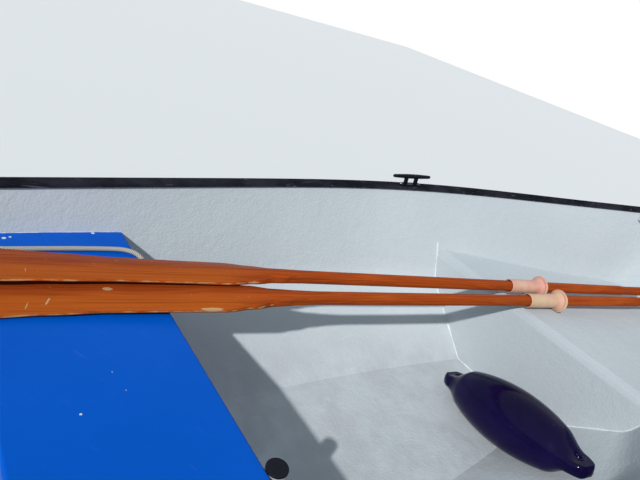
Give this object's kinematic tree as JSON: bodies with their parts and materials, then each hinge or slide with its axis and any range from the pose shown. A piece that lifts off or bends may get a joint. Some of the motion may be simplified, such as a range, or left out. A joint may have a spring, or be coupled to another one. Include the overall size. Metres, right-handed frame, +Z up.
{
  "type": "rowing boat",
  "caption": "Open glassfibre rowing boat with thwart, bow platform, stern bench, swivelling rowlocks and a pair of wooden oars, a fender and a coiled painter stowed aboard.",
  "frame": {"origin": "midway along and across the boat, on the ground under the keel", "axes": "+X to the bow, +Y to port, +Z up"},
  "size_m": [3.8678, 1.469, 0.6956],
  "materials": {
    "gelcoat": "pale blue-grey paint over glassfibre, matt to satin",
    "blue_paint": "bright blue gloss paint, worn",
    "grey_tube": "dull grey tube",
    "black_plastic": "black moulded nylon",
    "black_rubber": "black rubber, weathered",
    "varnished_wood": "orange-brown varnish, worn at the edges",
    "galvanised_steel": "dull galvanised",
    "cream_plastic": "aged cream plastic",
    "navy_vinyl": "glossy dark blue vinyl",
    "rope": "off-white braided rope"
  },
  "bodies": {
    "boat": {"hull": "gelcoat", "bow_platform": "gelcoat", "stern_bench": "gelcoat", "keel": "gelcoat", "bilge_runner_port": "gelcoat", "bilge_runner_starboard": "gelcoat", "breasthook": "gelcoat", "quarter_knee_port": "gelcoat", "quarter_knee_starboard": "gelcoat", "thwart": "blue_paint", "thwart_ledge_port": "gelcoat", "thwart_ledge_starboard": "gelcoat", "post": "grey_tube", "post_cap": "black_plastic", "gunwale_strip_port": "black_rubber", "gunwale_strip_starboard": "black_rubber", "transom_cap": "black_rubber", "rowlock_block_port": "varnished_wood", "rowlock_block_starboard": "varnished_wood", "rowlock_socket_port": "galvanised_steel", "rowlock_socket_starboard": "galvanised_steel", "cleat_port": "black_plastic", "cleat_starboard": "black_plastic", "bow_eye": "galvanised_steel", "stern_eye_port": "galvanised_steel", "stern_eye_starboard": "galvanised_steel", "side_eye": "galvanised_steel", "drain_plug": "black_plastic", "transom_board": "varnished_wood", "oar_port": "varnished_wood", "oar_starboard": "varnished_wood", "oar_sleeve_port": "cream_plastic", "oar_sleeve_starboard": "cream_plastic", "fender": "navy_vinyl", "painter": "rope", "painter_coil": "rope"},
    "rowlock_port_body": {"rowlock_port": "galvanised_steel"},
    "rowlock_starboard_body": {"rowlock_starboard": "galvanised_steel"}
  },
  "joints": [
    {"name": "rowlock_port_swivel", "type": "hinge", "parent": "boat", "child": "rowlock_port_body", "pos_m": [-0.808, 0.686, 0.4607], "axis": [0, 0, 1], "continuous": true},
    {"name": "rowlock_starboard_swivel", "type": "hinge", "parent": "boat", "child": "rowlock_starboard_body", "pos_m": [-0.808, -0.686, 0.4607], "axis": [0, 0, 1], "continuous": true}
  ]
}
